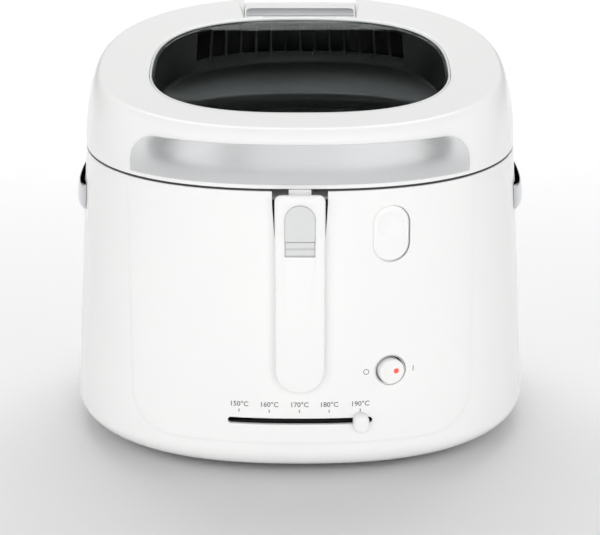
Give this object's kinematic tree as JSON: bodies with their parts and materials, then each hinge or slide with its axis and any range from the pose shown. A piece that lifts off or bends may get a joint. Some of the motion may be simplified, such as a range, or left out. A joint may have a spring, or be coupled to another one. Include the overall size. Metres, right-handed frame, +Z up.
{
  "type": "deep fryer",
  "caption": "Domestic deep fryer: rounded white body, hinged lid with viewing window, folding front handle, basket in a coated bowl, sliding temperature control and rocker switch.",
  "frame": {"origin": "on the ground, under the middle of the bounding box", "axes": "+Z up, front of the fryer towards -Y, +X to the right seen from the front"},
  "size_m": [0.3042, 0.3081, 0.2564],
  "materials": {
    "black_plastic": "satin injection moulded",
    "bright_steel": "polished wire and pins",
    "brushed_steel": "satin sheet",
    "clear_glass": "clear float",
    "coated_metal": "non-stick coating",
    "grey_plastic": "satin injection moulded",
    "red_lens_plastic": "translucent red",
    "rubber": "matt moulded",
    "silicone": "matt moulded",
    "smoked_glass": "dark tempered",
    "white_plastic": "glossy injection moulded"
  },
  "bodies": {
    "body": {"base_plate": "black_plastic", "base_screw_front": "bright_steel", "base_screw_left": "bright_steel", "base_screw_rear": "bright_steel", "base_screw_right": "bright_steel", "basket": "bright_steel", "basket_bracket": "bright_steel", "basket_rim": "bright_steel", "body_shell": "white_plastic", "bowl": "coated_metal", "button_guide": "white_plastic", "button_spring": "bright_steel", "cord_gland": "black_plastic", "foot_front_left": "rubber", "foot_front_right": "rubber", "foot_rear_left": "rubber", "foot_rear_right": "rubber", "handle_neck": "white_plastic", "handle_pin": "bright_steel", "handle_socket": "black_plastic", "heat_shield": "brushed_steel", "heating_element": "bright_steel", "hinge_bracket": "white_plastic", "latch_bracket": "grey_plastic", "latch_pin": "bright_steel", "lid_hinge_pin": "bright_steel", "lid_spring": "bright_steel", "side_grip_left": "bright_steel", "side_grip_right": "bright_steel", "slot_liner": "black_plastic", "switch_bezel": "white_plastic", "switch_housing": "black_plastic", "terminal_block": "white_plastic", "thermal_fuse": "bright_steel", "thermostat": "black_plastic", "top_frame": "white_plastic"},
    "lid": {"lid_shell": "white_plastic", "lid_trim_band": "brushed_steel", "window_gasket": "silicone", "window_pane": "clear_glass", "window_tray": "black_plastic", "inner_pane": "smoked_glass", "inner_lid": "brushed_steel", "lid_seal": "silicone", "lid_striker": "grey_plastic", "filter_cartridge": "bright_steel", "lid_hinge_arm": "white_plastic", "filter_cover_pin": "bright_steel"},
    "filter_cover": {"filter_cover": "white_plastic", "filter_cover_plate": "brushed_steel"},
    "handle": {"handle_shell": "white_plastic", "handle_pad": "grey_plastic", "handle_latch_spring": "bright_steel"},
    "handle_latch": {"handle_latch": "grey_plastic"},
    "lid_button": {"lid_button": "white_plastic"},
    "latch_hook": {"latch_hook": "grey_plastic"},
    "power_rocker": {"power_rocker": "white_plastic", "switch_lens": "red_lens_plastic"},
    "temperature_lever": {"thermostat_lever": "brushed_steel", "temperature_knob": "white_plastic"}
  },
  "joints": [
    {"name": "lid_hinge", "type": "hinge", "parent": "body", "child": "lid", "pos_m": [0, 0.1492, 0.1895], "axis": [-1, 0, 0], "range_deg": [0, 85]},
    {"name": "filter_cover_hinge", "type": "hinge", "parent": "lid", "child": "filter_cover", "pos_m": [0, 0.1168, 0.2533], "axis": [-1, 0, 0], "range_deg": [0, 90]},
    {"name": "handle_fold", "type": "hinge", "parent": "body", "child": "handle", "pos_m": [0, -0.14654, 0.18833], "axis": [-1, 0, 0], "range_deg": [0, 90]},
    {"name": "handle_latch_slide", "type": "slide", "parent": "handle", "child": "handle_latch", "axis": [0, -0.0257, -0.9997], "range_m": [0, 0.006], "stiffness_N_per_m": 150, "springref_m": -0.004},
    {"name": "lid_button_press", "type": "slide", "parent": "body", "child": "lid_button", "axis": [-0.2629, 0.9644, -0.03], "range_m": [0, 0.003], "stiffness_N_per_m": 400, "springref_m": -0.004},
    {"name": "latch_hook_rock", "type": "hinge", "parent": "body", "child": "latch_hook", "pos_m": [0.0526, -0.12149, 0.13154], "axis": [-0.9648, -0.263, 0], "range_deg": [-0.2, 5.79]},
    {"name": "power_switch_rock", "type": "hinge", "parent": "body", "child": "power_rocker", "pos_m": [0.0567, -0.1385, 0.0747], "axis": [-0.0073, 0.0287, 0.9996], "range_deg": [-12, 0]},
    {"name": "temperature_select", "type": "hinge", "parent": "body", "child": "temperature_lever", "pos_m": [0, 0.00118, 0.0424], "axis": [0, 0, 1], "range_deg": [-29, 0]}
  ],
  "couplings": [
    {"joint": "latch_hook_rock", "follows": "lid_button_press", "rad_per_m": 31.348}
  ]
}
